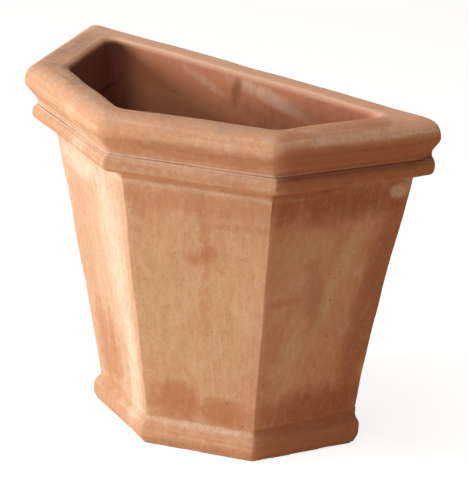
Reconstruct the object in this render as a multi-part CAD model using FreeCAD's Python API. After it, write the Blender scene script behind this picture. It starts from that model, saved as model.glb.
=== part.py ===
"""A terracotta wall planter, as clay pieces luted together before firing.

In plan it is half of a regular octagon, cut from corner to corner: a flat back that
stands against a wall, and four equal sides that lean out as they rise. Slabs of clay
make the floor and the walls. Strips with a moulded section, mitred at the corners,
make the plinth round the foot, the bead under the rim and the roll on top. Coils of
soft clay fill the inside corners. Fired clay has no moving pieces and no fasteners.

Millimetres. +Z is up, +Y points into the wall behind the planter and +X runs along
that wall, to the right for someone who faces it. The origin is on the floor, at the
middle of the back's lower edge.
"""

import FreeCAD
import Part

import math
import os

# ---- driving dimensions -------------------------------------------------------------

HEIGHT = 400.0  # floor to the top of the rim
FOOT_APOTHEM = 143.0  # middle of the back to a side's outer face, at the floor
LEAN_DEG = 9.6  # how far each side leans out from upright

WALL = 22.0  # side walls, measured level
BACK_WALL = 25.0
FLOOR = 26.0
ARRIS_RADIUS = 3.0  # outer corners of the body

DRAIN_RADIUS = 13.0

ROLL_HEIGHT = 46.5  # the rim's roll, from its joint with the walls to its top
ROLL_REACH = 24.5  # how far the roll stands out beyond the lean of the side, at its top
ROLL_TOP_RADIUS = 21.0
ROLL_UNDER_RISE = 20.5  # joint to the level where the slope under the roll ends
ROLL_UNDER_RADIUS = 8.0
ROLL_INNER_RADIUS = 23.0  # the rim's inner top edge
ROLL_INNER_CORNER_RADIUS = 22.0  # in plan
ROLL_BACK_LIP = 5.0  # how far the rim's back strip stands in from the back wall
ROLL_BACK_RADIUS = 4.5  # where the roll turns into the back, at its ends and along the top

NECK_REACH = 15.5  # the hollow between roll and bead, beyond the side's face
NECK_RISE = 4.0  # joint to the middle of that hollow
NECK_RADIUS = 9.0
NECK_CORNER_RADIUS = 7.0  # in plan; the roll's corners turn about the same axes

BEAD_HEIGHT = 34.0  # the strip under the roll
BEAD_REACH = 22.0  # beyond the side's face, at the joint
BEAD_LOW = 16.0  # from the strip's lower edge up to the bead's outer lower edge
BEAD_HIGH = 3.0  # from the joint down to the bead's outer upper edge
BEAD_UNDER_SLOPE = 3.0  # the underside drops by this much from there to the wall
BEAD_RADIUS = 8.5
BEAD_HOLLOW_RADIUS = 11.0
BEAD_LEDGE = 2.0  # the strip's lower edge stands this far off the wall

PLINTH_HEIGHT = 31.0
PLINTH_REACH = 8.0
PLINTH_TOP_RADIUS = 7.0
PLINTH_FOOT_RADIUS = 6.0
PLINTH_CORNER_RADIUS = 5.0

COIL_WIDTH = 10.0  # along each wall; the coils between the sides are pressed flat
BACK_COIL_RADIUS = 18.0  # the coils in the two corners at the back are hollowed
FLOOR_COIL_RADIUS = 12.0

# ---- worked out ---------------------------------------------------------------------

SIDE_NAMES = ("left_end", "left_front", "right_front", "right_end")
SIDE_TURN = 180.0 / len(SIDE_NAMES)  # degrees in plan from one side to the next
SIDES = {name: SIDE_TURN * (i + 0.5) - 180 for i, name in enumerate(SIDE_NAMES)}
CORNERS = [SIDE_TURN * i - 180 for i in range(1, len(SIDE_NAMES))]
HALF_SIDE = math.radians(SIDE_TURN / 2)
JOINT_Z = HEIGHT - ROLL_HEIGHT  # top of the walls and the bead, under the roll
BEAD_Z = JOINT_Z - BEAD_HEIGHT
SEAT = WALL / 2  # how deep a strip's section starts inside the wall, before it is cut
ROLL_BACK_WIDTH = BACK_WALL + ROLL_BACK_LIP
FAR = 4 * (HEIGHT + FOOT_APOTHEM)  # longer than anything here
UP = FreeCAD.Vector(0, 0, 1)


def face_apothem(z):
    """Distance from the upright axis through the origin to a side's outer face."""
    return FOOT_APOTHEM + z * math.tan(math.radians(LEAN_DEG))


def half_angle(before, corner, after):
    return (before - corner).getAngle(after - corner) / 2


def fitting_radii(points, radii):
    """The radii, made smaller where two arcs would run past each other on one leg."""
    count = len(points)
    used = []
    for i in range(count):
        half = half_angle(points[i - 1], points[i], points[(i + 1) % count])
        used.append(radii[i] / math.tan(half))
    fitting = list(radii)
    for i in range(count):
        leg = points[i - 1].distanceToPoint(points[i])
        taken = used[i - 1] + used[i]
        if taken > leg:
            fitting[i - 1] = min(fitting[i - 1], radii[i - 1] * leg / taken)
            fitting[i] = min(fitting[i], radii[i] * leg / taken)
    return fitting


def rounded_wire(points, radii):
    """A closed wire through the points, with an arc at each one that has a radius."""
    count = len(points)
    radii = fitting_radii(points, radii)
    stops = []
    for i, (corner, radius) in enumerate(zip(points, radii)):
        before = (points[i - 1] - corner).normalize()
        after = (points[(i + 1) % count] - corner).normalize()
        half = before.getAngle(after) / 2
        back_off = radius / math.tan(half)
        middle = corner
        if radius:
            inwards = (before + after).normalize()
            middle = corner + inwards * (radius / math.sin(half) - radius)
        stops.append((corner + before * back_off, middle, corner + after * back_off))
    edges = []
    for i, (start, middle, end) in enumerate(stops):
        if radii[i]:
            edges.append(Part.Arc(start, middle, end).toShape())
        following = stops[(i + 1) % count][0]
        if end.distanceToPoint(following) > 1e-6:
            edges.append(Part.LineSegment(end, following).toShape())
    return Part.Wire(edges)


def outwards(name):
    """The level direction that a side faces."""
    turn = math.radians(SIDES[name])
    return FreeCAD.Vector(math.cos(turn), math.sin(turn), 0)


def along(name):
    """The level direction along a side, towards the right-hand end."""
    return UP.cross(outwards(name))


def in_front(back):
    """Everything in front of the plane y = -back."""
    corner = FreeCAD.Vector(-FAR, -FAR - back, -FAR)
    return Part.makeBox(2 * FAR, FAR, 2 * FAR, corner)


def behind_side(name, apothem, lean):
    """Everything behind a side's plane, which stands this far out at the floor."""
    tilt = math.radians(lean)
    climb = outwards(name) * math.sin(tilt) + UP * math.cos(tilt)
    inwards = UP * math.sin(tilt) - outwards(name) * math.cos(tilt)
    points = []
    for across, up in ((-1, -1), (1, -1), (1, 1), (-1, 1), (-1, -1)):
        points.append(
            outwards(name) * apothem + along(name) * FAR * across + climb * FAR * up
        )
    return Part.Face(Part.makePolygon(points)).extrude(inwards * FAR)


def block(apothem, low, high, back=0.0, lean=LEAN_DEG):
    """The half octagon between two levels, solid right through, with its back edge at
    y = -back. The apothem is the one at the floor."""
    corner = FreeCAD.Vector(-FAR, -FAR - back, low)
    solid = Part.makeBox(2 * FAR, FAR, high - low, corner)
    for name in SIDES:
        solid = solid.common(behind_side(name, apothem, lean))
    return solid.Solids[0]


def left_of(angle):
    """Everything on the left of the upright plane through the axis at this angle."""
    turn = math.radians(angle)
    out = FreeCAD.Vector(math.cos(turn), math.sin(turn), 0) * FAR
    points = [-out - UP * FAR, out - UP * FAR, out + UP * FAR, UP * FAR - out]
    face = Part.Face(Part.makePolygon(points + points[:1]))
    return face.extrude(out.cross(UP))


def trimmed(solid, name):
    """The part of a solid that lies between the mitre planes of one side."""
    i = SIDE_NAMES.index(name)
    if i < len(CORNERS):
        solid = solid.common(left_of(CORNERS[i]))
    if i > 0:
        solid = solid.cut(left_of(CORNERS[i - 1]))
    return solid


def section_face(corners, name):
    """A section given as (apothem, z, radius) corners, set upright on a side's middle."""
    points = [outwards(name) * apothem + UP * z for apothem, z, _ in corners]
    return Part.Face(rounded_wire(points, [radius for _, _, radius in corners]))


def mitred_strip(corners, name):
    """A strip of one section along one side, cut at its corners by the mitre planes."""
    start = section_face(corners, name).translated(along(name) * -FAR / 4)
    return trimmed(start.extrude(along(name) * FAR / 2), name)


def middle_of(edge):
    return edge.valueAt((edge.FirstParameter + edge.LastParameter) / 2)


def climbing_edges(solid):
    """The edges whose two ends lie at different heights."""
    return [e for e in solid.Edges if abs(e.Vertexes[0].Z - e.Vertexes[-1].Z) > 0.1]


def corner_edges(solid):
    """The climbing edges that lie in the three mitre planes."""
    chosen = []
    for edge in climbing_edges(solid):
        points = [vertex.Point for vertex in edge.Vertexes] + [middle_of(edge)]
        for angle in CORNERS:
            turn = math.radians(angle)
            across = FreeCAD.Vector(-math.sin(turn), math.cos(turn), 0)
            if all(abs(point.dot(across)) < 1e-4 for point in points):
                chosen.append(edge)
    return chosen


def inside(solid, edge):
    return solid.isInside(middle_of(edge), 1e-3, True)


def save(shape, name):
    """Writes one node. Every solid in it has to be valid and closed."""
    for solid in shape.Solids:
        assert solid.isValid() and solid.isClosed() and solid.Volume > 1, name
    Part.Compound(shape.Solids).exportStep("parts/" + name + ".step")
    box = shape.BoundBox
    print(
        f"{name:24s} {len(shape.Solids)} solid  {shape.Volume / 1000:8.1f} cm3  "
        f"{box.XLength:6.1f} x {box.YLength:6.1f} x {box.ZLength:6.1f}"
    )
    return shape.Volume


# ---- the floor and the walls --------------------------------------------------------


def body(low, high):
    """The body's outer shape between two levels, solid right through."""
    solid = block(FOOT_APOTHEM, low, high)
    return solid.makeFillet(ARRIS_RADIUS, corner_edges(solid))


def hollow(low, high, back):
    """The space inside the walls between two levels, with sharp corners."""
    return block(FOOT_APOTHEM - WALL, low, high, back)


def round_at_back(solid, back):
    """A hollow with the two corners filled where the end walls meet the back."""
    edges = [e for e in climbing_edges(solid) if abs(middle_of(e).y + back) < 0.01]
    return solid.makeFillet(BACK_COIL_RADIUS, edges)


def coiled_hollow(low, high, back):
    """The same with its upright corners filled by the coils."""
    sharp = hollow(low, high, back)
    flattened = sharp.makeChamfer(COIL_WIDTH, corner_edges(sharp))
    return round_at_back(flattened, back)


def rim_hollow(low, high, back):
    """The same with its upright corners rounded, as the roll's inner side is."""
    sharp = hollow(low, high, back)
    rounded = sharp.makeFillet(ROLL_INNER_CORNER_RADIUS, corner_edges(sharp))
    return round_at_back(rounded, back)


def floor_slab():
    slab = body(0, FLOOR)
    middle = FreeCAD.Vector(0, drain_y(), -1)
    return slab.cut(Part.makeCylinder(DRAIN_RADIUS, FLOOR + 2, middle))


def drain_y():
    """The middle of the floor, front to back."""
    front = -(face_apothem(FLOOR) - WALL) / math.cos(HALF_SIDE)
    return (front - BACK_WALL) / 2


def walls():
    """Name and solid of each wall. The back spans the width; the sides butt against it."""
    shell = body(FLOOR, JOINT_Z)
    found = {"back_wall": shell.cut(in_front(BACK_WALL))}
    shell = shell.cut(hollow(FLOOR, JOINT_Z, BACK_WALL)).common(in_front(BACK_WALL))
    for name in SIDES:
        found["wall_" + name] = trimmed(shell, name)
    return found


# ---- the coils in the inside corners ------------------------------------------------


def coils():
    """The clay pressed into the upright corners, and the ring of it round the floor."""
    sharp = hollow(FLOOR, JOINT_Z, BACK_WALL)
    soft = coiled_hollow(FLOOR, JOINT_Z, BACK_WALL)
    names = ["back_left", "left", "front", "right", "back_right"]
    upright = sorted(sharp.cut(soft).Solids, key=lambda solid: solid.CenterOfMass.x)
    found = {"corner_coil_" + name: solid for name, solid in zip(names, upright)}
    low_edges = [edge for edge in soft.Edges if edge.BoundBox.ZMax < FLOOR + 0.01]
    found["floor_coil"] = soft.cut(soft.makeFillet(FLOOR_COIL_RADIUS, low_edges))
    return found


# ---- the moulded strips -------------------------------------------------------------


def plinth_strips():
    """A band round the foot that leans with the walls, with both its edges rounded."""
    foot, top = face_apothem(0), face_apothem(PLINTH_HEIGHT)
    section = [
        (foot - SEAT, 0, 0),
        (foot + PLINTH_REACH, 0, PLINTH_FOOT_RADIUS),
        (top + PLINTH_REACH, PLINTH_HEIGHT, PLINTH_TOP_RADIUS),
        (top - SEAT, PLINTH_HEIGHT, 0),
    ]
    return band_strips("plinth_", section, 0, PLINTH_HEIGHT, PLINTH_CORNER_RADIUS)


def bead_strips():
    """A half-round bead with a hollow under it, on the walls' outer faces."""
    bead = face_apothem(JOINT_Z) + BEAD_REACH
    hollow_z = BEAD_Z + BEAD_LOW - BEAD_UNDER_SLOPE
    section = [
        (face_apothem(BEAD_Z) - SEAT, BEAD_Z, 0),
        (face_apothem(BEAD_Z) + BEAD_LEDGE, BEAD_Z, 0),
        (face_apothem(hollow_z) + BEAD_LEDGE, hollow_z, BEAD_HOLLOW_RADIUS),
        (bead, BEAD_Z + BEAD_LOW, BEAD_RADIUS),
        (bead, JOINT_Z - BEAD_HIGH, BEAD_RADIUS),
        (face_apothem(JOINT_Z) + NECK_REACH, JOINT_Z, 0),
        (face_apothem(JOINT_Z) - SEAT, JOINT_Z, 0),
    ]
    return band_strips("bead_", section, BEAD_Z, JOINT_Z)


def band_strips(prefix, section, low, high, corner_radius=0.0):
    """Four strips of one section round the body, cut to seat on its outer faces."""
    core = body(low, high)
    strips = [mitred_strip(section, name) for name in SIDES]
    band = strips[0].fuse(strips[1:]).removeSplitter().Solids[0]
    if corner_radius:
        outer = [edge for edge in corner_edges(band) if not inside(core, edge)]
        band = band.makeFillet(corner_radius, outer)
    band = band.cut(core).common(in_front(0))
    return {prefix + name: trimmed(band, name) for name in SIDES}


def roll_section():
    """Returns the roll's section and the apothem at which its outer corners turn."""
    neck = face_apothem(JOINT_Z) + NECK_REACH
    widest = face_apothem(HEIGHT) + ROLL_REACH
    core = neck - NECK_CORNER_RADIUS
    section = [
        (core, JOINT_Z, 0),
        (neck, JOINT_Z, 0),
        (neck, JOINT_Z + NECK_RISE, NECK_RADIUS),
        (widest, JOINT_Z + ROLL_UNDER_RISE, ROLL_UNDER_RADIUS),
        (widest, HEIGHT, ROLL_TOP_RADIUS),
        (core, HEIGHT, 0),
    ]
    return section, core


def roll_ring():
    """The roll with its corners turned, solid right through."""
    section, core = roll_section()
    ring = block(core, JOINT_Z, HEIGHT, lean=0.0)
    reach = core * math.tan(HALF_SIDE)
    past_back = FAR / 4
    for name in SIDES:
        low = -past_back if name == SIDE_NAMES[0] else -reach
        high = past_back if name == SIDE_NAMES[-1] else reach
        face = section_face(section, name)
        bar = face.translated(along(name) * low).extrude(along(name) * (high - low))
        ring = ring.fuse(bar)
        if high == reach:
            corner = outwards(name) * core + along(name) * reach
            start = face.translated(along(name) * reach)
            ring = ring.fuse(start.revolve(corner, UP, SIDE_TURN))
    return ring.removeSplitter().common(in_front(0)).removeSplitter().Solids[0]


def lip_radius():
    """The inner edge's radius, as far as the rim's flat top has room for it."""
    at_sides = ROLL_REACH - ROLL_TOP_RADIUS + WALL
    at_back = ROLL_BACK_WIDTH - ROLL_BACK_RADIUS
    return min(ROLL_INNER_RADIUS, at_sides - 1, at_back - 1)


def roll_pieces():
    """The rim: the roll on top of the walls and the bead, and a plain strip that lies on
    the back wall between the roll's two ends."""
    ring = roll_ring()
    at_back = [edge for edge in ring.Edges if abs(middle_of(edge).y) < 0.01]
    at_back = [edge for edge in at_back if middle_of(edge).z > JOINT_Z + 0.01]
    ring = ring.makeFillet(ROLL_BACK_RADIUS, at_back)
    ring = ring.cut(rim_hollow(JOINT_Z, HEIGHT, ROLL_BACK_WIDTH)).Solids[0]
    within = block(FOOT_APOTHEM - WALL + 1, JOINT_Z, HEIGHT + 1, ROLL_BACK_WIDTH - 1)
    lip = [edge for edge in ring.Edges if middle_of(edge).z > HEIGHT - 0.01]
    lip = [edge for edge in lip if inside(within, edge)]
    ring = ring.makeFillet(lip_radius(), lip)
    strip = ring.common(hollow(JOINT_Z, HEIGHT, 0))
    strip = strip.cut(in_front(ROLL_BACK_WIDTH + 2 * BACK_COIL_RADIUS))
    ring = ring.cut(strip)
    found = {"roll_back": strip}
    for name in SIDES:
        found["roll_" + name] = trimmed(ring, name)
    return found


def main():
    os.makedirs("parts", exist_ok=True)
    pieces = {"floor_slab": floor_slab()}
    for group in (walls(), coils(), plinth_strips(), bead_strips(), roll_pieces()):
        pieces.update(group)
    total = sum(save(shape, name) for name, shape in pieces.items())
    print(f"{len(pieces)} pieces, {total / 1000:.0f} cm3 of clay")


if __name__ == "__main__":
    main()
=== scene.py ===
# %% [markdown]
# A terracotta wall planter, built up in soft clay as a potter would build it.
# The real planter is half of an octagon with a flat back: leaning slabs, a foot band, a
# bead under the rim and a fat roll on top, all of one fired clay. This lesson loads the
# measured solids as a fixed frame, models the clay over them in the steps a hand would
# take, warps it a little, and gives it a dry, streaked finish with a bloom of lime.

# %% Load the frame
import math
from collections import namedtuple

import bmesh
import bpy
from mathutils import Matrix, Vector


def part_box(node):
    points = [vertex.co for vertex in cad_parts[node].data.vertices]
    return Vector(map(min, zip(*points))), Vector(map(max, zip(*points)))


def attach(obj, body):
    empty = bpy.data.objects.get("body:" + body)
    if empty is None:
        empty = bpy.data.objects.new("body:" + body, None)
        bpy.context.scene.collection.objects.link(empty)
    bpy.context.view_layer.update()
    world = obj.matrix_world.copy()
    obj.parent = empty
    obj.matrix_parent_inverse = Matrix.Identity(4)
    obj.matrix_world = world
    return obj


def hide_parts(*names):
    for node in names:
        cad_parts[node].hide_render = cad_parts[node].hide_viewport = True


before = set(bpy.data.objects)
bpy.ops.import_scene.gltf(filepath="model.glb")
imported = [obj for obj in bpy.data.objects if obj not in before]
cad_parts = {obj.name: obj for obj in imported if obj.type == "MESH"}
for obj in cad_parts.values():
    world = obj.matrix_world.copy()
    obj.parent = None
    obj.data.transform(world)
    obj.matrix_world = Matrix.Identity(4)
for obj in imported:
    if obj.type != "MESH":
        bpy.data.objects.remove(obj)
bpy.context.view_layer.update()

MM = 0.001


def deselect_all():
    """The imported nodes come in selected, and operators act on all that is selected."""
    bpy.ops.object.select_all(action="DESELECT")


deselect_all()

# %% [markdown]
# The camera comes first, because every later step is judged through it. The picture was
# taken from the right of the planter and a little above it, with a long lens, so the
# far side is hardly smaller than the near one. It could be aimed with a tracking
# constraint, but three plain turns say the same and hold the slight tilt as well.

# %% Camera
CAMERA_PLACE = (1.5518, -1.9334, 1.1283)
CAMERA_AZIMUTH = math.radians(39.10)  # round the planter; 0 is straight in front
CAMERA_ELEVATION = math.radians(20.68)
CAMERA_TILT = math.radians(2.81)  # about the line of sight
CAMERA_LENS = 174.7  # millimetres, on a sensor of 36

bpy.ops.object.camera_add()
camera = bpy.context.object
camera.name = "camera"
camera.matrix_world = (
    Matrix.Translation(CAMERA_PLACE)
    @ Matrix.Rotation(CAMERA_AZIMUTH, 4, "Z")
    @ Matrix.Rotation(math.pi / 2 - CAMERA_ELEVATION, 4, "X")
    @ Matrix.Rotation(CAMERA_TILT, 4, "Z")
)
camera.data.lens = CAMERA_LENS
camera.data.sensor_width = 36
bpy.context.scene.camera = camera
print("the camera looks along", [round(-x, 3) for x in camera.matrix_world.col[2][:3]])

# %% [markdown]
# Seen from above, every level of the planter is the same figure: half a regular octagon,
# larger or smaller. The middle of a side lies one "apothem" from the upright axis at the
# wall. So a level is told by five numbers, with a sixth where the left end stands apart,
# and a piece of clay is a stack of levels. The sizes are read from the frame, so that the
# clay sits on the measured solids.

# %% Sizes from the frame
TURN = math.radians(45)  # in plan, from one side to the next
COS_HALF = math.cos(TURN / 2)

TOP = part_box("roll_left_front")[1].z
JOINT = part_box("roll_left_front")[0].z  # under the roll, on top of the walls
BEAD_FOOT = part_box("bead_left_front")[0].z
BAND_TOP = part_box("plinth_left_front")[1].z
FLOOR_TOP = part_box("floor_slab")[1].z
JOINT_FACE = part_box("back_wall")[1].x * COS_HALF
FLOOR_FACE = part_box("floor_slab")[1].x * COS_HALF
LEAN = (JOINT_FACE - FLOOR_FACE) / (JOINT - FLOOR_TOP)
BACK_WALL = -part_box("back_wall")[0].y
WALL = 22 * MM


def face(z):
    """How far the outer face of a wall stands from the axis at this height."""
    return FLOOR_FACE + LEAN * (z - FLOOR_TOP)


print(f"joint at {JOINT:.4f}, lean {math.degrees(math.atan(LEAN)):.2f} degrees")
print(f"foot apothem {face(0):.4f}, back wall {BACK_WALL:.4f}")

# %% [markdown]
# An outline could be drawn point by point. A hand would rather take a circle of eight
# points, cut it in half, and bevel its corners. The next outline up is an extrusion of
# the last one, whose five corners are then moved to their new places and scaled to their
# new radius. That keeps every face a clean four-sided one, which warps well later.

# %% Outlines of clay
Outline = namedtuple("Outline", "apothem z back corner back_corner left", defaults=[None])
CORNER_STEPS = 6
BACK_TANGENT = math.tan(math.radians(90 - 45 / 2) / 2)


def meet(angle, distance, other_angle, other_distance, z):
    """Where two sides cross, each told by its normal's angle and its distance."""
    normals = Matrix([(math.cos(t), math.sin(t)) for t in (angle, other_angle)])
    return (normals.inverted() @ Vector((distance, other_distance))).to_3d() + Vector((0, 0, z))


def sharp_corners(outline):
    """Where the straight edges would meet: the left back, the three in front, the right."""
    left = outline.left or outline.apothem
    distances = [outline.back, left, *[outline.apothem] * 3, outline.back]
    angles = [math.radians(a) for a in (-90, -157.5, -112.5, -67.5, -22.5, -90)]
    lines = list(zip(angles, distances))
    return [meet(*one, *other, outline.z) for one, other in zip(lines, lines[1:])]


def corner_radii(outline):
    return [outline.back_corner, *[outline.corner] * 3, outline.back_corner]


def edit_mesh(piece):
    mesh = bmesh.from_edit_mesh(piece.data)
    mesh.verts.index_update()
    mesh.verts.ensure_lookup_table()
    return mesh


def points_where(piece, wanted):
    """The numbers of the points that answer a question about where they are."""
    return [vertex.index for vertex in edit_mesh(piece).verts if wanted(vertex)]


def selected(piece):
    return points_where(piece, lambda vertex: vertex.select)


def select_only(piece, numbers):
    bpy.ops.mesh.select_all(action="DESELECT")
    mesh = edit_mesh(piece)
    for number in numbers:
        mesh.verts[number].select = True
    mesh.select_flush(True)
    bmesh.update_edit_mesh(piece.data)


def nearest(point, places):
    return min(range(len(places)), key=lambda i: (point - places[i]).length)


def start_outline(name, outline, closed):
    """The first outline of a piece: half an octagon, open at the back or closed there."""
    deselect_all()
    bpy.ops.mesh.primitive_circle_add(
        vertices=8, radius=outline.apothem / COS_HALF, enter_editmode=True
    )
    piece = bpy.context.object
    piece.name = name
    bpy.ops.mesh.select_mode(type="VERT")
    bpy.ops.mesh.select_all(action="SELECT")
    bpy.ops.mesh.bisect(plane_co=(0, 0, 0), plane_no=(0, 1, 0), clear_outer=True)
    bpy.ops.mesh.select_all(action="SELECT")
    bpy.ops.transform.translate(value=(0, 0, outline.z))
    if closed:
        select_only(piece, points_where(piece, lambda v: v.co.y > -1e-6))
        bpy.ops.mesh.edge_face_add()
        bpy.ops.mesh.bevel(
            affect="VERTICES", offset=outline.back_corner / BACK_TANGENT, segments=CORNER_STEPS
        )
    places = sharp_corners(outline)[1:4]
    select_only(
        piece, points_where(piece, lambda v: min((v.co - p).length for p in places) < 1e-4)
    )
    bpy.ops.mesh.bevel(
        affect="VERTICES",
        offset=outline.corner * math.tan(TURN / 2),
        segments=CORNER_STEPS,
    )
    bpy.ops.mesh.select_all(action="SELECT")
    bpy.ops.mesh.mark_seam()
    return piece


def next_outline(piece, was, now):
    """Extrudes the selected outline and takes its corners to the next level's places."""
    bpy.ops.mesh.extrude_region_move()
    bpy.ops.mesh.mark_seam()
    ring = selected(piece)
    old_places, new_places = sharp_corners(was), sharp_corners(now)
    groups = [[] for _ in old_places]
    mesh = edit_mesh(piece)
    for number in ring:
        groups[nearest(mesh.verts[number].co, old_places)].append(number)
    radii = zip(corner_radii(was), corner_radii(now))
    for group, old, new, (before, after) in zip(groups, old_places, new_places, radii):
        select_only(piece, group)
        bpy.ops.transform.translate(value=new - old)
        if len(group) > 1 and abs(after - before) > 1e-9:
            scale = after / before
            bpy.ops.transform.resize(value=(scale, scale, 1), center_override=new)
    select_only(piece, ring)


def stack(name, outlines, closed=True):
    """A piece of clay from its outlines, which go once round its section."""
    piece = start_outline(name, outlines[0], closed)
    for was, now in zip(outlines, outlines[1:]):
        next_outline(piece, was, now)
    return piece


def close_section(piece, last, first):
    """Takes the last outline back to the first one and welds them."""
    next_outline(piece, last, first)
    bpy.ops.mesh.select_all(action="SELECT")
    bpy.ops.mesh.remove_doubles(threshold=1e-6)


# %% [markdown]
# A moulding's section is drawn as a few corners, each with a radius, as a potter's
# wooden template is cut. Each rounded corner becomes a short run of outlines. The arcs
# could be left to a Bevel modifier, but the roll's edges have other radii at its sides
# than at the wall, and in a run of outlines each can have its own.

# %% Rounded sections
ARC_STEPS = 7


def rounded_section(corners):
    """Section points (apothem, z) through corners (apothem, z, radius), open at its ends."""
    points = [Vector(corner[:2]) for corner in corners]
    run = [points[0]]
    for i in range(1, len(points) - 1):
        radius = corners[i][2]
        if not radius:
            run.append(points[i])
            continue
        before = (points[i - 1] - points[i]).normalized()
        after = (points[i + 1] - points[i]).normalized()
        half = before.angle(after) / 2
        centre = points[i] + (before + after).normalized() * radius / math.sin(half)
        start = points[i] + before * radius / math.tan(half)
        end = points[i] + after * radius / math.tan(half)
        a, b = start - centre, end - centre
        sweep = a.angle(b)
        for step in range(ARC_STEPS + 1):
            share = step / ARC_STEPS
            along = a * math.sin((1 - share) * sweep) + b * math.sin(share * sweep)
            run.append(centre + along / math.sin(sweep))
    run.append(points[-1])
    return run


# %% [markdown]
# The rim's roll is the fattest piece and catches the most light. It is a closed ring:
# the section climbs from the neck over the bulge to the top, falls over the soft inner
# lip and comes back under. Along the wall the ring is a plain strip with small edges, so
# the distance of each outline from the wall is worked out apart from its sides. Inside,
# a hand smeared the roll down over the walls, so the two lap each other there.

# %% The roll
HEADROOM = 0.7 * MM  # left for the unevenness that comes later
ROLL_CREST = TOP - HEADROOM
ROLL_SIDE = face(TOP) + 24.5 * MM - HEADROOM  # the bulge, where it is widest
ROLL_TURN_AXIS = face(JOINT) + 8.5 * MM  # the roll's corners turn about this apothem
NECK = face(JOINT) + 17 * MM
ROLL_BACK_EDGE = 9 * MM
ROLL_END_EDGE = 5 * MM
BACK_STRIP = 30 * MM
LIP_RADIUS = 23 * MM
INNER_CORNER = 17 * MM
INNER_BACK_CORNER = 11 * MM
LEAST_RADIUS = 0.5 * MM
LAP = 6 * MM  # inside, the roll and the walls lap each other over this height, each
LAP_DEPTH = 0.25 * MM  # leaning into the clay by so much, and no ledge is left
SMALL_LIP_START = 12 * MM  # the back and the left end were cut with a wire and keep
SMALL_LIP_SHARE = 0.6  # their edge: they open only where the other lips are nearly flat


def outer_roll_outline(apothem, z):
    """Outside, the corners turn about one axis and the back edge is nearly square."""
    over = max(0.0, z - (ROLL_CREST - ROLL_BACK_EDGE))
    back = ROLL_BACK_EDGE - math.sqrt(max(0.0, ROLL_BACK_EDGE**2 - over**2))
    corner = max(apothem - ROLL_TURN_AXIS, LEAST_RADIUS)
    from_neck = min(1.0, (z - JOINT) / (20 * MM))
    return Outline(apothem, z, back, corner, max(ROLL_END_EDGE * from_neck, LEAST_RADIUS))


def inner_roll_outline(apothem, z, into_wall=0.0):
    """Inside, the back strip and the left end have a small lip; the lap leans into the wall."""
    apothem += into_wall
    inner_face = face(z) - WALL
    opened = apothem - inner_face
    small = max(into_wall, (opened - SMALL_LIP_START) * SMALL_LIP_SHARE)
    left = inner_face + small
    corner = INNER_CORNER + opened * 0.5
    return Outline(apothem, z, BACK_STRIP - small, corner, INNER_BACK_CORNER + small, left)


def make_roll():
    """The corners of its sections are told by apothem, height and radius."""
    outer = rounded_section(
        [
            (NECK, JOINT, 0),
            (NECK, JOINT + 5 * MM, 11 * MM),
            (ROLL_SIDE, JOINT + 23 * MM, 8 * MM),
            (ROLL_SIDE, ROLL_CREST, 19.5 * MM),
            (ROLL_TURN_AXIS, ROLL_CREST, 0),
        ]
    )
    inner = rounded_section(
        [
            (ROLL_TURN_AXIS, ROLL_CREST, 0),
            (face(TOP) - WALL, ROLL_CREST, LIP_RADIUS),
            (face(JOINT) - WALL, JOINT, 0),
        ]
    )
    outlines = [outer_roll_outline(a, z) for a, z in outer[:-1]]
    outlines += [inner_roll_outline(a, z) for a, z in inner[1:]]
    outlines.append(inner_roll_outline(face(JOINT - LAP) - WALL, JOINT - LAP, LAP_DEPTH))
    piece = stack("rim_roll", outlines)
    close_section(piece, outlines[-1], outlines[0])
    return piece


# %% [markdown]
# The walls, the floor and the coils inside them are one shell of clay by the time it is
# fired, so they are one piece here. It climbs outside from the foot to the joint, turns
# over the wall's top, which the roll hides, and goes down inside to the rounded edge of
# the floor. The drain hole is a circle, bridged to the floor above and below. Bridging
# makes long thin faces, but under the soil nobody looks for an even grid.

# %% The body
ARRIS = 3 * MM
BODY_BACK_CORNER = 1.5 * MM
FLOOR_COIL = 12 * MM
DRAIN_RADIUS = 13 * MM
DRAIN_POINTS = 5 * (CORNER_STEPS + 1)
DRAIN_PLACE = Vector((0, -((FLOOR_FACE - WALL) / COS_HALF + BACK_WALL) / 2, 0))
FAIRING = 110 * MM  # the height over which the back wall thickens to the rim's strip
FAIRING_STEPS = 8
LEAST_COIL = 4 * MM  # the tightest corner that the coil round the floor leaves


def inner_body_outline(apothem, z):
    """Inside the walls; over the floor the coil draws all five edges in alike, and at the
    top the back wall thickens to meet the rim's strip with no step."""
    drawn_in = (face(z) - WALL) - apothem
    rise = max(0.0, 1 - (JOINT - z) / FAIRING)
    fairing = (BACK_STRIP - BACK_WALL) * rise * rise * (3 - 2 * rise)
    corner = max(INNER_CORNER - drawn_in, LEAST_COIL)
    back_corner = max(INNER_BACK_CORNER - drawn_in, LEAST_COIL)
    return Outline(apothem, z, BACK_WALL + drawn_in + fairing, corner, back_corner)


def add_drain_circle(piece, z):
    """Another circle in the same mesh, left selected."""
    bpy.ops.mesh.select_all(action="DESELECT")
    bpy.ops.mesh.primitive_circle_add(
        vertices=DRAIN_POINTS, radius=DRAIN_RADIUS, location=DRAIN_PLACE + Vector((0, 0, z))
    )
    bpy.ops.mesh.mark_seam()
    return selected(piece)


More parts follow.
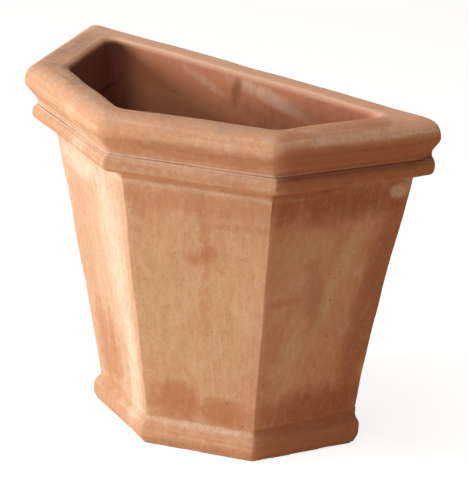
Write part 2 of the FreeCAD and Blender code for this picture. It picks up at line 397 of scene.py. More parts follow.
def make_body():
    outer = [
        Outline(face(0), 0, 0, ARRIS, BODY_BACK_CORNER),
        Outline(face(JOINT), JOINT, 0, ARRIS, BODY_BACK_CORNER),
    ]
    heights = [JOINT - FAIRING * i / FAIRING_STEPS for i in range(1, FAIRING_STEPS + 1)]
    corners = [(face(JOINT) - WALL + LAP_DEPTH, JOINT, 0)]
    corners += [(face(z) - WALL, z, 0) for z in [JOINT - LAP] + heights]
    corners += [
        (face(FLOOR_TOP) - WALL, FLOOR_TOP, FLOOR_COIL),
        (face(FLOOR_TOP) - WALL - 2 * FLOOR_COIL, FLOOR_TOP, 0),
    ]
    inner = rounded_section(corners)
    outlines = outer + [inner_body_outline(a, z) for a, z in inner[:-1]]
    piece = stack("body", outlines)
    floor_edge = selected(piece)
    drain_top = add_drain_circle(piece, FLOOR_TOP)
    select_only(piece, floor_edge + drain_top)
    bpy.ops.mesh.bridge_edge_loops()
    select_only(piece, drain_top)
    bpy.ops.mesh.extrude_region_move(TRANSFORM_OT_translate={"value": (0, 0, -FLOOR_TOP)})
    foot_edge = points_where(piece, lambda v: v.co.z < MM and not v.select)
    select_only(piece, selected(piece) + foot_edge)
    bpy.ops.mesh.bridge_edge_loops()
    return piece


# %% [markdown]
# The bead and the foot band are strips round the four sides only: they end square at the
# wall. Their section goes once round and is sunk one millimetre into the wall, as soft
# clay is when it is pressed on, and each open end is closed with a face.

# %% The bead and the foot band
SUNK = 1 * MM
BEAD_CORNER = 4 * MM
LEDGE = 0.8 * MM  # the bead's thin lower edge, smeared onto the wall
BAND_CORNER = 5 * MM
# the foot band's corners: out from the wall's face, height and radius, in millimetres
BAND_SECTION = [(7, 0, 5), (11, 11, 13), (8.5, 24, 7), (0.8, 31, 7), (-0.3, 40, 0)]


def make_strip(name, section, corner):
    """A moulded strip round the sides, from its section's rounded run of points."""
    outlines = [
        Outline(a, z, 0, ARRIS if a < face(z) else corner, LEAST_RADIUS)
        for a, z in rounded_section(section)
    ]
    piece = stack(name, outlines, closed=False)
    close_section(piece, outlines[-1], outlines[0])
    for side in (-1, 1):
        end = points_where(piece, lambda v: v.co.y > -1e-6 and v.co.x * side > 0)
        select_only(piece, end)
        bpy.ops.mesh.edge_face_add()
    return piece


def make_bead():
    """Hollow over its lower edge, then a round swelling, then a slope up to the neck."""
    bulge = face(JOINT) + 22 * MM
    hollow_z = BEAD_FOOT + 13 * MM
    section = [
        (face(BEAD_FOOT) - SUNK, BEAD_FOOT, 0),
        (face(BEAD_FOOT) + LEDGE, BEAD_FOOT, 0),
        (face(hollow_z) + LEDGE, hollow_z, 13 * MM),
        (bulge, BEAD_FOOT + 16 * MM, 8.5 * MM),
        (bulge, JOINT - 5 * MM, 9 * MM),
        (NECK, JOINT, 0),
        (face(JOINT) - SUNK, JOINT, 0),
    ]
    return make_strip("bead", section, BEAD_CORNER)


def make_foot_band():
    """A soft swelling round the foot, which runs out thin on the wall above it."""
    section = [(face(z * MM) + out * MM, z * MM, radius * MM) for out, z, radius in BAND_SECTION]
    top = section[-1][1]
    section = [(face(0) - SUNK, 0, 0), *section, (face(top) - SUNK, top, 0)]
    return make_strip("foot_band", section, BAND_CORNER)


# %% [markdown]
# So far each side is one long strip of faces. To warp like clay it needs many small ones.
# The seams marked on the outlines say which edges run along the clay, and cutting those
# across, and then the tall edges of the walls, makes an even grid.

# %% Divide, and close each piece
LONG = 30 * MM  # edges along a side are longer than this, and those of an arc shorter


def select_edges(piece, wanted):
    mesh = edit_mesh(piece)
    bpy.ops.mesh.select_mode(type="EDGE")
    bpy.ops.mesh.select_all(action="DESELECT")
    for edge in mesh.edges:
        edge.select = wanted(edge)
    bmesh.update_edit_mesh(piece.data)
    return sum(edge.select for edge in mesh.edges)


def direction(edge):
    return edge.verts[1].co - edge.verts[0].co


def cut(piece, wanted, spacing, like=0.0):
    """Cuts the wanted edges into lengths of the spacing; "like" leaves out shorter ones."""
    lengths = [e.calc_length() for e in edit_mesh(piece).edges if wanted(e)]
    if not lengths:
        return 0
    longest = max(lengths)
    select_edges(piece, lambda e: wanted(e) and e.calc_length() > like * longest)
    bpy.ops.mesh.subdivide(number_cuts=round(longest / spacing) - 1)
    return len(lengths)


def divide(piece, spacing):
    """Cuts the long edges so that their pieces are about the spacing long."""
    def along_wall(edge):
        return edge.seam and abs(direction(edge).y) < 1e-6 and edge.calc_length() > LONG

    def along_side(edge):
        return edge.seam and edge.calc_length() > LONG and not along_wall(edge)

    def tall(edge):
        return not edge.seam and abs(direction(edge).z) > 4 * spacing

    def flat(edge):
        return not edge.seam and edge.calc_length() > 4 * spacing and not tall(edge)

    cut(piece, along_side, spacing)
    cut(piece, along_wall, spacing)
    while cut(piece, tall, spacing, like=0.8):
        pass
    cut(piece, flat, 2 * spacing)


def finish_mesh(piece):
    """Back to object mode, with outward faces and the place kept in the mesh."""
    bpy.ops.mesh.select_all(action="SELECT")
    bpy.ops.mesh.remove_doubles(threshold=1e-6)
    bpy.ops.mesh.normals_make_consistent(inside=False)
    bpy.ops.object.mode_set(mode="OBJECT")
    bpy.ops.object.transform_apply(location=True, rotation=True, scale=True)
    bpy.ops.object.shade_smooth_by_angle(angle=math.radians(50))
    mesh = bmesh.new()
    mesh.from_mesh(piece.data)
    open_edges = sum(not edge.is_manifold for edge in mesh.edges)
    print(f"{piece.name}: {len(mesh.faces)} faces, {open_edges} open edges, "
          f"volume {mesh.calc_volume() * 1e6:.0f} cm3")
    mesh.free()
    return piece


def shaped(make, spacing):
    piece = make()
    divide(piece, spacing)
    return finish_mesh(piece)


body = shaped(make_body, 4 * MM)
foot_band = shaped(make_foot_band, 3 * MM)
bead = shaped(make_bead, 3 * MM)
roll = shaped(make_roll, 3 * MM)
pieces = [body, foot_band, bead, roll]


def flat_points(piece):
    """The numbers of the points against the wall, and of those on the ground."""
    points = piece.data.vertices
    against_wall = [v.index for v in points if v.co.y > -1e-6]
    return against_wall, [v.index for v in points if v.co.z < 1e-6]


FLAT_POINTS = {piece: flat_points(piece) for piece in pieces}
print("against the wall and on the ground:", {
    piece.name: [len(numbers) for numbers in FLAT_POINTS[piece]] for piece in pieces
})

# %% [markdown]
# Nothing on a hand-pressed pot is quite straight. The walls flare a little more at their
# far ends, the foot band is fuller at its two ends, the neck is filled at the right-hand
# end, and the opening was thumbed wider at the front. A Warp modifier does what a thumb
# does: it carries the clay round one place by a little, and less and less further off,
# and it works on many pieces alike. Proportional editing would do the same to one piece.

# %% Pushes of the thumb
def push(clay_pieces, place, move, reach):
    """Carries the clay near a place along; the move and the reach are in millimetres."""
    ends = []
    for spot in (place, place + Vector(move) * MM):
        deselect_all()
        bpy.ops.object.empty_add(location=spot)
        ends.append(bpy.context.object)
    for piece in clay_pieces:
        warp = piece.modifiers.new("push", "WARP")
        warp.object_from, warp.object_to = ends
        warp.falloff_radius = reach * MM
        bpy.context.view_layer.objects.active = piece
        bpy.ops.object.modifier_apply(modifier=warp.name)
    deselect_all()
    for end in ends:
        end.select_set(True)
    bpy.ops.object.delete()


def on_corner(angle, apothem, z):
    """A place on the line where two sides meet, at this angle in plan."""
    reach = apothem / COS_HALF
    return Vector((math.cos(angle) * reach, math.sin(angle) * reach, z))


def on_side(side, along, apothem, z):
    """A place on a side; "along" runs to the right from its middle."""
    normal = math.radians(-157.5) + TURN * side
    outward = Vector((math.cos(normal), math.sin(normal), 0))
    sideways = Vector((-math.sin(normal), math.cos(normal), 0))
    return outward * apothem + sideways * along + Vector((0, 0, z))


def outward(side, distance):
    return on_side(side, 0, distance, 0)


LEFT_FRONT, RIGHT_FRONT, RIGHT_END = 1, 2, 3  # numbers of sides; the left end is 0
LEFT_BACK_CORNER, LEFT_CORNER, RIGHT_BACK_CORNER = (math.radians(a) for a in (180, -135, 0))
FLARE_LEFT, FLARE_RIGHT = 325 * MM, 315 * MM  # heights, a little under the bead
LIP = TOP - 10 * MM
opening = face(TOP) - WALL

# the walls flare
push([body], on_corner(LEFT_CORNER, face(FLARE_LEFT), FLARE_LEFT), (-3.2, -1.6, 0), 190)
push([body], on_corner(RIGHT_BACK_CORNER, face(FLARE_RIGHT), FLARE_RIGHT), (4, 0, 0), 130)
# the neck at its two ends
push([roll, bead], on_corner(RIGHT_BACK_CORNER, NECK, JOINT), (2, 0, 3.5), 24)
push([roll, bead], on_corner(LEFT_BACK_CORNER, NECK, JOINT), (1.8, 0, 0), 24)
# the foot band at its two ends
push([body, foot_band], on_corner(LEFT_BACK_CORNER, face(0), 22 * MM), (-3, 0, 4), 60)
push([body, foot_band], on_corner(RIGHT_BACK_CORNER, face(BAND_TOP), 36 * MM), (3, 0, 5), 60)
# the opening at the front
push([roll, body], on_side(LEFT_FRONT, 66 * MM, opening, LIP - 2 * MM), outward(LEFT_FRONT, 5), 60)
push([roll, body], on_side(LEFT_FRONT, 0, opening, LIP), outward(LEFT_FRONT, 3), 60)
push([roll, body], on_side(RIGHT_FRONT, -45 * MM, opening, LIP), outward(RIGHT_FRONT, 3), 70)

# %% [markdown]
# The whole pot is uneven too, by about a millimetre. The same cloud of noise moves
# every piece, so the joints stay shut: its red, green and blue each move the clay along
# one axis. The clay could be smoothed and dented brush stroke by brush stroke, but noise
# of two sizes comes close to the long waves of slab rolling and the short ones of fingers.

# %% The unevenness of hand work
def undulate(clay_pieces, name, size, strength):
    """Moves the clay by coloured noise; a modifier applied on every piece alike."""
    noise = bpy.data.textures.new(name, "CLOUDS")
    noise.cloud_type = "COLOR"
    noise.noise_scale = size
    noise.noise_depth = 1
    for piece in clay_pieces:
        displace = piece.modifiers.new(name, "DISPLACE")
        displace.texture = noise
        displace.texture_coords = "LOCAL"
        displace.direction = "RGB_TO_XYZ"
        displace.strength = strength
        displace.mid_level = 0.5
        bpy.context.view_layer.objects.active = piece
        bpy.ops.object.modifier_apply(modifier=name)


undulate(pieces, "long_waves", 90 * MM, 2.2 * MM)
undulate(pieces, "finger_waves", 28 * MM, 0.5 * MM)


NEARLY_FLAT = 0.6 * MM  # a point that the noise left this near to a flat face joins it


def press_flat(piece):
    """The pot dried on a board with its back against a wall: both faces are flat again."""
    deselect_all()
    piece.select_set(True)
    bpy.context.view_layer.objects.active = piece
    bpy.ops.object.mode_set(mode="EDIT")
    bpy.ops.mesh.select_mode(type="VERT")
    against_wall, on_ground = FLAT_POINTS[piece]
    against_wall = against_wall + points_where(piece, lambda v: v.co.y > -NEARLY_FLAT)
    on_ground = on_ground + points_where(piece, lambda v: v.co.z < NEARLY_FLAT)
    for axis, numbers in ((1, against_wall), (2, on_ground)):
        if numbers:
            select_only(piece, numbers)
            scale = [1, 1, 1]
            scale[axis] = 0
            bpy.ops.transform.resize(value=scale, center_override=(0, 0, 0))
    bpy.ops.object.mode_set(mode="OBJECT")
    low = [min(v.co[i] for v in piece.data.vertices) for i in range(3)]
    high = [max(v.co[i] for v in piece.data.vertices) for i in range(3)]
    print(piece.name, "from", [round(x, 4) for x in low], "to", [round(x, 4) for x in high])


for piece in pieces:
    press_flat(piece)

# %% [markdown]
# The finish is worked out by arithmetic on the shader's values. Node by node that reads
# badly, so one small class wraps a node's output: the signs of arithmetic on it add Math
# nodes, and its one method adds any other node. The same could be clicked together by hand
# in the shader editor; in a script the sums can be read as sums.

# %% Shader arithmetic
class Wire:
    """An output of a shader node; arithmetic with it adds nodes to its tree."""

    def __init__(self, tree, socket=None):
        self.tree, self.socket = tree, socket

    def node(self, kind, settings={}, inputs={}, output=0):
        """Adds a node: its settings first, then values or wires into its inputs."""
        made = self.tree.nodes.new("ShaderNode" + kind)
        for name, value in settings.items():
            setattr(made, name, value)
        for name, value in inputs.items():
            if isinstance(value, Wire):
                self.tree.links.new(value.socket, made.inputs[name])
            else:
                made.inputs[name].default_value = value
        return Wire(self.tree, made.outputs[output] if made.outputs else None)

    def math(self, operation, *values):
        return self.node("Math", {"operation": operation}, dict(enumerate(values)))

    def __add__(self, other):
        return self.math("ADD", self, other)

    def __sub__(self, other):
        return self.math("SUBTRACT", self, other)

    def __rsub__(self, other):
        return self.math("SUBTRACT", other, self)

    def __mul__(self, other):
        return self.math("MULTIPLY", self, other)

    def __truediv__(self, other):
        return self.math("DIVIDE", self, other)

    def __rtruediv__(self, other):
        return self.math("DIVIDE", other, self)

    def __pow__(self, other):
        return self.math("POWER", self, other)

    def __neg__(self):
        return self * -1

    def __abs__(self):
        return self.math("ABSOLUTE", self)

    __radd__ = __add__
    __rmul__ = __mul__

    def ramp(self, low, high):
        """Smoothly from 0 at "low" to 1 at "high"; "low" may be the larger one."""
        ends = {"Value": self, "From Min": low, "From Max": high}
        return self.node("MapRange", {"interpolation_type": "SMOOTHSTEP"}, ends)

    def over(self, under, colour):
        """This wire as a mask: the colour laid over the one under it."""
        inputs = {0: self, 6: under, 7: colour}
        return self.node("Mix", {"data_type": "RGBA"}, inputs, output=2)


def new_shader(name):
    """A material with an empty tree, and a wire to start from."""
    material = bpy.data.materials.new(name)
    material.use_nodes = True
    material.node_tree.nodes.clear()
    return material, Wire(material.node_tree)


# %% [markdown]
# Wipe marks run up the walls and round the mouldings, so noise must be stretched along
# each side. The place on the pot is turned into three lengths: "along" the side, "out"
# from the axis and "up". They come from the object's own coordinates by plain plan
# geometry. A UV map would do as well, but would need four pieces unwrapped to one scale.

# %% Lengths on the pot
Places = namedtuple("Places", "point x y up side along out depth arris back inside at_left")
BACK = 9  # the number of the back wall and its strip, beside the sides' 0 to 3


def find_places(start):
    """The lengths that all masks are made from, for a point of the clay."""
    point = start.node("TexCoord", output="Object")
    split = {"Vector": point}
    x, y, up = (start.node("SeparateXYZ", {}, split, output=i) for i in range(3))
    angle = y.math("ARCTAN2", y, x)
    side = ((angle + math.pi) / TURN).math("FLOOR", (angle + math.pi) / TURN)
    off_middle = angle + math.radians(157.5) - side * TURN
    radius = (x * x + y * y) ** 0.5
    along = radius * off_middle.math("SINE", off_middle)
    out = radius * off_middle.math("COSINE", off_middle)
    arris = out * math.tan(TURN / 2) - abs(along)
    depth = face(0) + up * LEAN - out  # from the walls' outer faces
    by_wall = y.ramp(-37 * MM, -36 * MM)  # the back wall, the strip over it and the ends
    back = by_wall * depth.ramp(8 * MM, 9 * MM)
    side = side * (1 - back) + BACK * back
    run = along * (1 - back) + x * back
    inside = depth.ramp(6 * MM, 20 * MM) * y.ramp(-10 * MM, -24 * MM)
    inside = inside * up.ramp(TOP - 2 * MM, TOP - 9 * MM)
    # painted shade: a mask for the dark left of the hollow, which the left end shades
    towards_left = -(x * math.cos(TURN / 2)) - y * math.sin(TURN / 2) - up * LEAN
    at_left = towards_left.ramp(face(0) - 75 * MM, face(0) - 24 * MM) * inside
    return Places(point, x, y, up, side, run, out, depth, arris, back, inside, at_left)


def vector(x, y, z):
    return x.node("CombineXYZ", {}, {"X": x, "Y": y, "Z": z})


def noise(wire, place, scale, detail=2.0, roughness=0.5):
    values = {"Vector": place, "Scale": scale, "Detail": detail, "Roughness": roughness}
    return wire.node("TexNoise", {}, values)


SIDE_SEED = 7.3  # sets the noise of one side apart from the next one's


def stretched(places, along, across, up, seed):
    """Noise of so many waves a metre along the side, out of it and up; each side its own."""
    through = places.out * (1 - places.back) + places.y * places.back
    run = places.along * along + places.side * SIDE_SEED + seed
    place = vector(run, through * across + seed, places.up * up)
    return noise(places.up, place, 1.0, 3.0, 0.6)


# %% [markdown]
# The clay itself is orange-brown, a little redder and darker at the right-hand end, partly
# as painted shade, and paler at the left, where lime has come out of it and as painted
# light. Over it go tones from the kiln, wipe marks, a pale film of lime, a deeper red inside
# that is partly painted shade, the smears that a hand left in known places, with painted
# shade among them under the mouldings, then the grain and the specks, with painted shade in
# the dark left of the hollow. Every mask is a few noises and lengths multiplied.
# The smears could be painted; placed by number they stay sharp from near by.

# %% The clay's colours
CLAY = (0.64, 0.385, 0.235, 1)
RED_CLAY = (0.50, 0.21, 0.105, 1)
PALE_CLAY = (0.72, 0.52, 0.37, 1)
PINK_CLAY = (0.78, 0.46, 0.32, 1)
LIME = (0.80, 0.65, 0.52, 1)
DUST = (0.40, 0.28, 0.23, 1)
# a deeper red for the inside, partly the clay's own and partly painted shade of the hollow
INNER_CLAY_AND_SHADE = (0.54, 0.20, 0.098, 1)
# painted shade for the dark left of the hollow
PAINTED_SHADE_DEEP = (0.09, 0.022, 0.014, 1)
SOOT = (0.16, 0.08, 0.05, 1)
OCHRE = (0.64, 0.43, 0.25, 1)
# dark brown, mostly for painted shade on the right-hand end and inside
UMBER_AND_SHADE = (0.33, 0.12, 0.06, 1)
CREAM = (0.86, 0.70, 0.55, 1)
STREAKS = 0.6  # how strongly the wipe marks change the colour
# side, along, up, half width, half height (in millimetres), turn (in degrees), strength
SMEARS = {
    OCHRE: [
        (RIGHT_FRONT, -15, 170, 75, 90, 0, 0.7),
        (RIGHT_END, 6, 200, 7, 75, -14, 1.0),
        (RIGHT_END, 24, 252, 12, 32, -30, 0.8),
        (RIGHT_END, -34, 252, 32, 28, 0, 0.6),
        (RIGHT_END, -31, 126, 14, 50, 0, 0.9),
    ],
    CREAM: [
        (LEFT_FRONT, 32, 225, 26, 120, 2, 0.75),
        (LEFT_FRONT, 42, 80, 14, 80, -5, 0.8),
        (LEFT_FRONT, -30, 302, 42, 16, 0, 0.9),
        (BACK, 50, 380, 60, 9, -10, 0.3),
    ],
    RED_CLAY: [
        # painted shade: darker low on the left front
        (LEFT_FRONT, -22, 80, 30, 55, 0, 0.75),
        (LEFT_FRONT, -48, 200, 24, 90, 0, 0.3),
        (RIGHT_FRONT, 4, 243, 18, 10, 28, 0.85),
        (RIGHT_FRONT, 6, 240, 26, 22, 20, 0.3),
        (RIGHT_FRONT, 8, 190, 8, 50, 0, 0.25),
        (RIGHT_FRONT, 6, 288, 6, 34, 8, 0.5),
        (RIGHT_FRONT, -26, 58, 28, 25, 0, 0.9),
        (RIGHT_FRONT, 30, 52, 34, 17, 0, 0.85),
        (RIGHT_FRONT, -63, 292, 8, 14, 0, 0.4),
        # painted shade: a darker band under the bead
        (RIGHT_FRONT, 0, 304, 90, 12, 0, 0.35),
        (RIGHT_FRONT, 45, 282, 50, 4, 4, 0.3),
        (RIGHT_END, -50, 195, 20, 6, 5, 0.65),
        (RIGHT_END, -25, 238, 12, 6, 20, 0.5),
        (RIGHT_END, 55, 225, 14, 60, -10, 0.5),
        (RIGHT_END, 45, 95, 26, 45, 0, 0.5),
        (RIGHT_END, 0, 52, 75, 16, 0, 0.6),
        # painted shadow under the bead on the right-hand end
        (RIGHT_END, 0, 312, 85, 13, 0, 0.5),
    ],
    # mostly painted shade: under the bead and the roll, over the right-hand end and on the right
    # of the inner back wall
    UMBER_AND_SHADE: [
        (RIGHT_END, 0, 312, 100, 26, 0, 0.9),
        (RIGHT_END, 25, 55, 75, 28, 0, 0.9),
        (RIGHT_END, 62, 190, 22, 130, -8, 0.8),
        (RIGHT_END, -12, 195, 10, 40, 10, 0.4),
        (RIGHT_FRONT, 20, 373, 95, 8, 0, 0.3),
        (RIGHT_FRONT, -10, 345, 95, 4, 0, 0.25),
        (RIGHT_END, 0, 371, 90, 8, 0, 0.6),
        (BACK, -2, 378, 6, 22, -10, 1.0),
        (BACK, 120, 352, 110, 36, 0, 0.9),
    ],
    LIME: [
        (RIGHT_FRONT, 0, 31, 66, 4, 0, 0.5),
        (RIGHT_END, 70, 314, 13, 8, 0, 0.6),
        (RIGHT_END, 10, 391, 80, 6, 0, 0.4),
        (BACK, -48, 378, 30, 5, -18, 0.2),
        (BACK, 45, 380, 45, 7, -14, 0.2),
    ],
}


def smear(places, torn, side, along, up, width, height, turn, strength):
    """A mask for one placed smear: an oval, turned, with an edge torn by a noise."""
    here = places.side.math("COMPARE", places.side, side, 0.5)
    here = here * (places.inside if side == BACK else 1 - places.inside)
    across, rise = places.along - along * MM, places.up - up * MM
    cosine, sine = math.cos(math.radians(turn)), math.sin(math.radians(turn))
    run = (across * cosine + rise * sine) / (width * MM)
    lift = (rise * cosine - across * sine) / (height * MM)
    from_middle = run * run + lift * lift + (torn - 0.5) * 5
    return from_middle.ramp(1.9, -0.1) * here * strength


def clay_colour(places, wiped, line, redness_and_shade, paleness_and_light, all_round=0.0, streaks=STREAKS):
    """The colour of the clay, and the height of its surface, from the wiped streaks.

    The line is a mask of slip. The clay is redder at the right-hand end, partly as painted
    shade of that end, and by the share "all_round" everywhere; it is paler at the left,
    partly as painted light of the lit side.
    """
    tone = noise(places.up, places.point, 7.0, 4.0)
    cloud = noise(places.up, places.point, 26.0, 5.0, 0.62)
    grain = noise(places.up, places.point, 900.0, 2.0)
    turn = places.y.math("ARCTAN2", places.y, places.x)
    # the right-hand end: its redder, darker clay is partly painted shade of that end
    shaded = turn.ramp(math.radians(-48), math.radians(-42)) * (1 - places.inside)
    redness_and_shade = redness_and_shade * (shaded * 0.8 + all_round) + (tone - 0.5)
    redness_and_shade = redness_and_shade + (wiped - 0.5) * (streaks - STREAKS)
    # the left side paler, partly as painted light of the lit side
    paleness_and_light = paleness_and_light * turn.ramp(math.radians(-86), math.radians(-97)) * (1 - places.inside)
    colour = redness_and_shade.over(CLAY, RED_CLAY)
    colour = (paleness_and_light + (0.5 - wiped) * streaks).over(colour, PALE_CLAY)
    lime = cloud.ramp(0.50, 0.74) * 0.22 + wiped.ramp(0.54, 0.74) * 0.12
    lime = lime * (1 - places.inside * 0.7) + line * (1 - places.inside)
    colour = lime.over(colour, LIME)
    # the inside a deeper red: partly the clay's own, partly painted shade of the hollow
    colour = (places.inside * 0.85).over(colour, INNER_CLAY_AND_SHADE)
    torn = (noise(places.up, places.point, 55.0, 8.0, 0.72) + wiped) * 0.5
    for smeared, table in SMEARS.items():
        for row in table:
            colour = smear(places, torn, *row).over(colour, smeared)
    mottle = stretched(places, 160, 90, 70, 5.0)
    colour = (mottle.ramp(0.42, 0.70) * 0.25).over(colour, RED_CLAY)
    colour = (mottle.ramp(0.50, 0.30) * 0.1 * (1 - places.inside)).over(colour, LIME)
    speckle = noise(places.up, places.point, 420.0, 4.0, 0.8)
    colour = (speckle.ramp(0.50, 0.72) * 0.6).over(colour, RED_CLAY)
    colour = (speckle.ramp(0.46, 0.28) * 0.3 * (1 - places.inside)).over(colour, LIME)
    # painted shade: near black deep in the left of the hollow
    colour = (places.at_left * 0.92).over(colour, PAINTED_SHADE_DEEP)
    dark = noise(places.up, places.point, 210.0, 1.0).ramp(0.74, 0.80) * 0.45
    colour = dark.over(colour, SOOT)
    return colour, wiped * 0.6 + grain * 0.14 + cloud * 0.5


def finish_clay(start, colour, height, roughness):
    """Dry, unglazed clay: rough, hardly shining, with the height as a fine relief."""
    relief = {"Height": height, "Distance": 1.6 * MM, "Strength": 0.55}
    values = {"Base Color": colour, "Normal": start.node("Bump", {}, relief)}
    values.update({"Roughness": roughness, "Specular IOR Level": 0.25})
    shader = start.node("BsdfPrincipled", {}, values)
    start.node("OutputMaterial", {}, {"Surface": shader})


# %% [markdown]
# The walls were wiped upward with a wet hand, and dried with a pale rim of slip under the
# bead and along the foot band. Their arrises are rubbed paler, and on the right front the
# strokes fan out below one spot. All are masks for the same film of lime, so the clay's
# colours are worked out once for walls and mouldings alike.

# %% The walls' clay
FAN_ALONG, FAN_UP = 5 * MM, 262 * MM  # where the fan of strokes starts on the right front


def wipe_marks(places):
    return stretched(places, 55, 20, 3.5, 0.0)


slab_clay, start = new_shader("slab_clay")
places = find_places(start)
wiped = wipe_marks(places)
outer = places.depth.ramp(6 * MM, 3 * MM)
under_bead = places.up.ramp(BEAD_FOOT - 5 * MM, BEAD_FOOT - 1 * MM) * outer * 0.35
over_band = places.up.ramp(BAND_TOP + 5 * MM, BAND_TOP) * outer * 0.35
rubbed = places.arris.ramp(5 * MM, 0.5 * MM) * wiped.ramp(0.4, 0.6) * outer * 0.25
# rising towards the bead on the right-hand end: redder and darker, as painted shade under the bead
redness_and_shade = places.up.ramp(200 * MM, BEAD_FOOT) * 0.45 + 0.5
below = FAN_UP - places.up
spread = below.math("ARCTAN2", places.along - FAN_ALONG, below)
fan = noise(start, vector(spread * 30, below * 5, places.side), 1.0, 3.0, 0.6).ramp(0.48, 0.70)
fan = fan * places.up.ramp(240 * MM, 200 * MM) * places.up.ramp(30 * MM, 70 * MM)
fan = fan * abs(spread).ramp(math.radians(28), math.radians(8))
fan = fan * fan.math("COMPARE", places.side, RIGHT_FRONT, 0.5) * 0.35
colour, height = clay_colour(places, wiped, under_bead + over_band + rubbed + fan, redness_and_shade, 0.62)
finish_clay(start, colour, height, 0.92 - wiped * 0.1)

# %% [markdown]
# The mouldings were drawn along with a template, so their streaks run round the pot, and
# show more than the wipe marks do. A thread of slip fills the joint between the roll and
# the bead. The top of the roll is pink near the wall and dusty at the left, where rain
# dries last, and its face at the right-hand end is darker and browner, as painted shade of
# that end. These are laid over the clay's colours one by one, since no other piece has them.

# %% The mouldings' clay
moulding_clay, start = new_shader("moulding_clay")
places = find_places(start)
drawn = stretched(places, 3.5, 130, 130, 3.0) * (1 - places.inside)
drawn = drawn + wipe_marks(places) * places.inside
from_joint = abs(places.up - JOINT) * (1 - places.inside) + places.inside
joint = abs(from_joint - 1.3 * MM).ramp(1.1 * MM, 0.3 * MM) * 0.6
crack = from_joint.ramp(0.7 * MM, 0.2 * MM) * drawn.ramp(0.45, 0.55) * 0.35
bead_edge = abs(places.up - BEAD_FOOT).ramp(4 * MM, 0.5 * MM) * 0.5
redness_and_shade = 0.35 + places.up.ramp(60 * MM, 300 * MM) * 0.45
line = joint + bead_edge
colour, height = clay_colour(places, drawn, line, redness_and_shade, 0.1, all_round=0.5, streaks=1.8)
bloom = places.up.ramp(TOP - 14 * MM, TOP - 2 * MM) * (1 - places.inside)
near_wall = places.y.ramp(-60 * MM, -25 * MM)
colour = (bloom * (0.1 + near_wall * 0.7)).over(colour, PINK_CLAY)
dusty = noise(places.up, places.point, 30.0, 8.0, 0.75).ramp(0.46, 0.66)
dusty = dusty * (0.45 + places.x.ramp(0, -120 * MM) * 0.35) * places.y.ramp(-28 * MM, -45 * MM)
colour = (bloom * dusty).over(colour, DUST)
# painted shade: the mouldings of the right-hand end darker and browner, less so at the top
painted_shade_umber = places.y.math("ARCTAN2", places.y, places.x).ramp(math.radians(-48), math.radians(-40))
painted_shade_umber = painted_shade_umber * places.up.ramp(TOP - 6 * MM, TOP - 24 * MM) * (1 - places.back) * 0.65
colour = (painted_shade_umber + crack * 0.5).over(colour, UMBER_AND_SHADE)
finish_clay(start, colour, height - crack, 0.92 - drawn * 0.1)

body.data.materials.append(slab_clay)
for piece in (foot_band, bead, roll):
    piece.data.materials.append(moulding_clay)

# %% [markdown]
# The light is a plain studio's: one large soft lamp low on the left, which makes the left
# side the palest, a second one overhead for the rim, and a weak warm one at the right.
# What falls on the shaded side has come off the floor and is warm too. The camera sees
# the floor as white paper with the planter's soft shadow on it.

# %% Floor, room and lamps
bpy.context.scene.view_settings.view_transform = "Standard"
world = bpy.data.worlds.new("room")
bpy.context.scene.world = world
world.use_nodes = True
world.node_tree.nodes.clear()
start = Wire(world.node_tree)


def seen_directly(start):
    """1 for a ray from the camera, straight or by a mirror or a glass."""
    rays = ("Is Camera Ray", "Is Glossy Ray", "Is Transmission Ray")
    return sum(start.node("LightPath", output=name) for name in rays)


seen = start.node("Background", {}, {"Color": (1, 1, 1, 1), "Strength": 1.0})
lit = start.node("Background", {}, {"Color": (1, 0.84, 0.70, 1), "Strength": 0.10})
mixed = start.node("MixShader", {}, {0: seen_directly(start), 1: lit, 2: seen})
start.node("OutputWorld", {}, {"Surface": mixed})

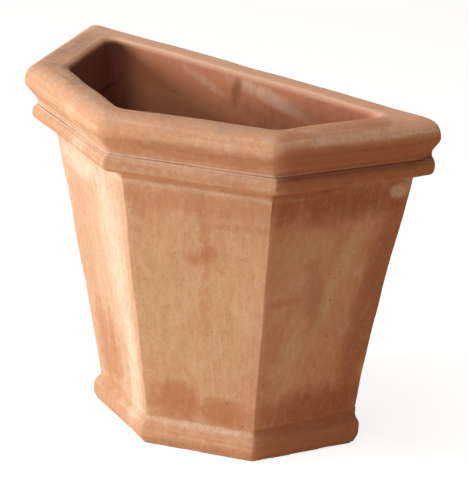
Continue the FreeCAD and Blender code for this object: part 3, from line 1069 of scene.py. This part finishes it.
bpy.ops.mesh.primitive_plane_add(size=12)
floor = bpy.context.object
floor.name = "floor"
paper, start = new_shader("paper")
bounced = start.node("BsdfDiffuse", {}, {"Color": (0.80, 0.60, 0.42, 1)})
warmth = start.node("Emission", {}, {"Color": (1, 0.74, 0.52, 1), "Strength": 0.06})
bounced = start.node("AddShader", {}, {0: bounced, 1: warmth})
shaded = start.node("BsdfDiffuse", {}, {"Color": (0.4, 0.4, 0.4, 1)})
glow = start.node("Emission", {}, {"Color": (1, 1, 1, 1), "Strength": 0.85})
white = start.node("AddShader", {}, {0: shaded, 1: glow})
mixed = start.node("MixShader", {}, {0: seen_directly(start), 1: bounced, 2: white})
start.node("OutputMaterial", {}, {"Surface": mixed})
floor.data.materials.append(paper)


def add_lamp(name, azimuth, elevation, distance, size, watts, colour):
    """A square soft lamp that faces the planter's middle."""
    turn, tip = math.radians(azimuth), math.radians(elevation)
    away = Vector((math.cos(turn) * math.cos(tip), math.sin(turn) * math.cos(tip), math.sin(tip)))
    middle = Vector((0, -0.1, 0.25))
    bpy.ops.object.light_add(type="AREA", location=middle + away * distance)
    lamp = bpy.context.object
    lamp.name = name
    lamp.rotation_euler = away.to_track_quat("Z", "Y").to_euler()
    lamp.data.shape = "SQUARE"
    lamp.data.size = size
    lamp.data.energy = watts
    lamp.data.color = colour


add_lamp("key_lamp", -131, 12, distance=2.5, size=1.0, watts=61, colour=(0.97, 1.0, 1.0))
add_lamp("top_lamp", -85, 68, distance=2.5, size=1.5, watts=34, colour=(1.0, 0.93, 0.86))
add_lamp("side_lamp", -15, 8, distance=3.0, size=1.2, watts=10, colour=(1.0, 0.75, 0.53))

# %% [markdown]
# Last, each piece is tied to the planter's one body and takes the place of the solids
# it stands for.

# %% Tie the pieces to the frame
SIDE_NAMES = ("left_end", "left_front", "right_front", "right_end")
COIL_NAMES = ("back_left", "left", "front", "right", "back_right")
body_nodes = ["floor_slab", "floor_coil", "back_wall"]
body_nodes += ["wall_" + name for name in SIDE_NAMES]
body_nodes += ["corner_coil_" + name for name in COIL_NAMES]
stands_for = {
    body: ("slab_clay", body_nodes),
    foot_band: ("moulding_clay", ["plinth_" + name for name in SIDE_NAMES]),
    bead: ("moulding_clay", ["bead_" + name for name in SIDE_NAMES]),
    roll: ("moulding_clay", ["roll_back"] + ["roll_" + name for name in SIDE_NAMES]),
}
for piece, (clay_slot, replaced) in stands_for.items():
    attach(piece, "root")
    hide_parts(*replaced)
